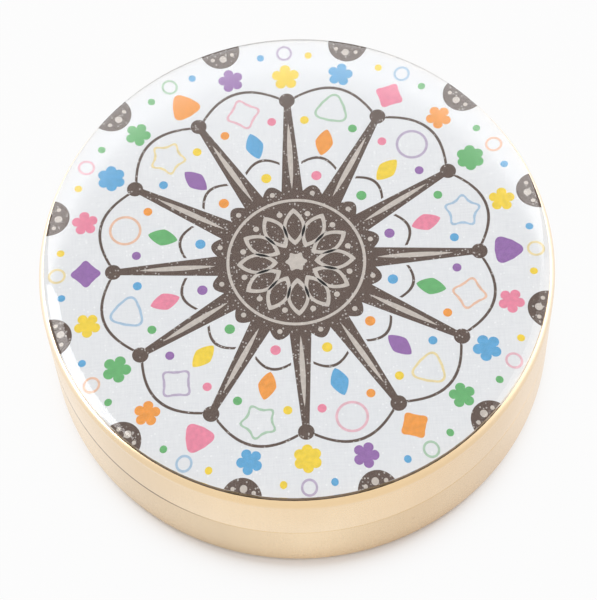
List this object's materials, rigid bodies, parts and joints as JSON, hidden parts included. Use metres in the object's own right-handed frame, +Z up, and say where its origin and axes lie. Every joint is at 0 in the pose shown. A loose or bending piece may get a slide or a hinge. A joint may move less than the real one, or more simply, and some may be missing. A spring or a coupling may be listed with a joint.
{
  "type": "trinket box",
  "caption": "Round hinged trinket box in plated metal, with a flush seam, a velvet lining and a lid whose recess holds a printed disc under a clear resin dome.",
  "frame": {"origin": "centre of the ring that the box stands on, at table height", "axes": "+Z up through the lid; -Y is the front, +Y is the side with the hinge; the hinge axis is parallel to X"},
  "size_m": [0.06, 0.06, 0.0205],
  "materials": {
    "gold_plate": "satin champagne-gold plating",
    "pin_steel": "drawn wire",
    "print_paper": "printed, with a faint pearl grain",
    "resin": "clear cast resin, glossy",
    "card": "plain board",
    "velvet": "short-pile velvet"
  },
  "bodies": {
    "base": {"base_shell": "gold_plate", "closing_collar": "gold_plate", "base_hinge_leaf": "gold_plate", "hinge_pin": "pin_steel", "floor_card": "card", "floor_velvet": "velvet", "strip_card": "card", "strip_velvet": "velvet"},
    "lid": {"lid_shell": "gold_plate", "lid_hinge_leaf": "gold_plate", "image_disc": "print_paper", "resin_dome": "resin", "lid_card": "card", "lid_velvet": "velvet"}
  },
  "joints": [
    {"name": "lid_hinge", "type": "hinge", "parent": "base", "child": "lid", "pos_m": [0, 0.02875, 0.0095], "axis": [-1, 0, 0], "range_deg": [0, 105]}
  ]
}
